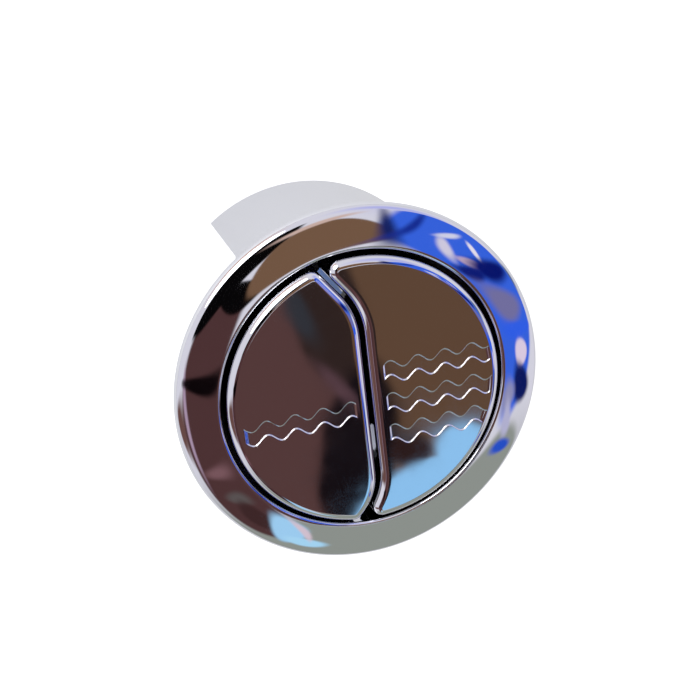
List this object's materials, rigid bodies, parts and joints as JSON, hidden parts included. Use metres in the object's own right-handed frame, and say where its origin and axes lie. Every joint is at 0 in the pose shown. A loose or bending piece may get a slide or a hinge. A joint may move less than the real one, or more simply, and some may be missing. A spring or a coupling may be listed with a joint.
{
  "type": "dual flush pushbutton",
  "caption": "Round chromed pushbutton for a toilet cistern lid: windowed barrel, flange, and two sprung half-moon caps with wave ribbons that push rods below.",
  "frame": {"origin": "on the barrel's axis, in the plane of the lid that the flange sits on", "axes": "+Z out of the button face; +X towards the large full-flush cap; +Y along the gap between the caps, towards its gentler bend"},
  "size_m": [0.068, 0.068, 0.0716],
  "materials": {
    "chrome_plate": "polished",
    "dark_moulding": "moulded",
    "blue_moulding": "moulded",
    "black_rubber": "matte",
    "spring_steel": "drawn"
  },
  "bodies": {
    "housing": {"flange_barrel": "chrome_plate", "lid_gasket": "black_rubber", "guide_carrier": "dark_moulding", "carrier_snap_ring": "spring_steel", "half_flush_spring": "spring_steel", "full_flush_spring": "spring_steel"},
    "half_button": {"half_flush_cap": "chrome_plate", "half_flush_slide": "dark_moulding", "half_flush_cap_screws": "spring_steel", "half_flush_buffer": "black_rubber", "half_flush_stop_clip": "spring_steel", "half_flush_rod": "blue_moulding", "half_flush_lock_nut": "blue_moulding"},
    "full_button": {"full_flush_cap": "chrome_plate", "full_flush_slide": "dark_moulding", "full_flush_cap_screws": "spring_steel", "full_flush_buffer": "black_rubber", "full_flush_stop_clip": "spring_steel", "full_flush_rod": "blue_moulding", "full_flush_lock_nut": "blue_moulding"}
  },
  "joints": [
    {"name": "half_press", "type": "slide", "parent": "housing", "child": "half_button", "axis": [0, 0, -1], "range_m": [0, 0.0055], "stiffness_N_per_m": 400, "springref_m": -0.004, "deforming": ["half_flush_spring"]},
    {"name": "full_press", "type": "slide", "parent": "housing", "child": "full_button", "axis": [0, 0, -1], "range_m": [0, 0.0055], "stiffness_N_per_m": 400, "springref_m": -0.004, "deforming": ["full_flush_spring"]}
  ]
}
